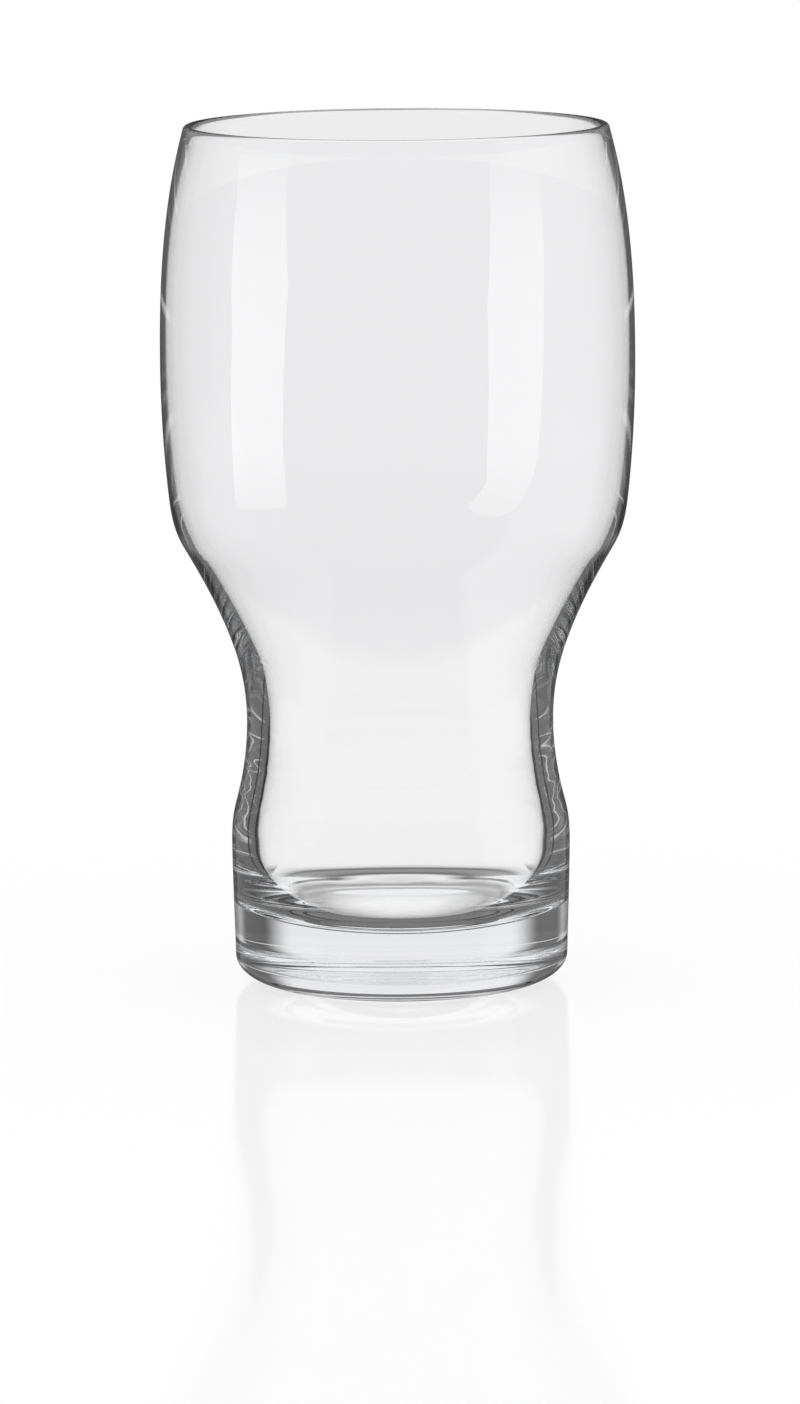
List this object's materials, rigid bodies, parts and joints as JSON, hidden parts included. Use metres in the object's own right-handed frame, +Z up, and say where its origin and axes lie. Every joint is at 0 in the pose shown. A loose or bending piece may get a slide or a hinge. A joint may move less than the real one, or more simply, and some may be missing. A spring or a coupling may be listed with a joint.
{
  "type": "beer glass",
  "caption": "Footed beer glass of clear glass: bulging bowl, cone, drawn-in waist, thick solid foot and rounded rim.",
  "frame": {"origin": "centre of the ring that the glass stands on, in the plane of the table", "axes": "+Z up along the glass's axis of revolution; X and Y are free, because the glass is round"},
  "size_m": [0.0908, 0.0908, 0.1652],
  "materials": {
    "clear_glass": "clear, fire-polished"
  },
  "bodies": {
    "root": {"beer_glass": "clear_glass"}
  },
  "joints": []
}
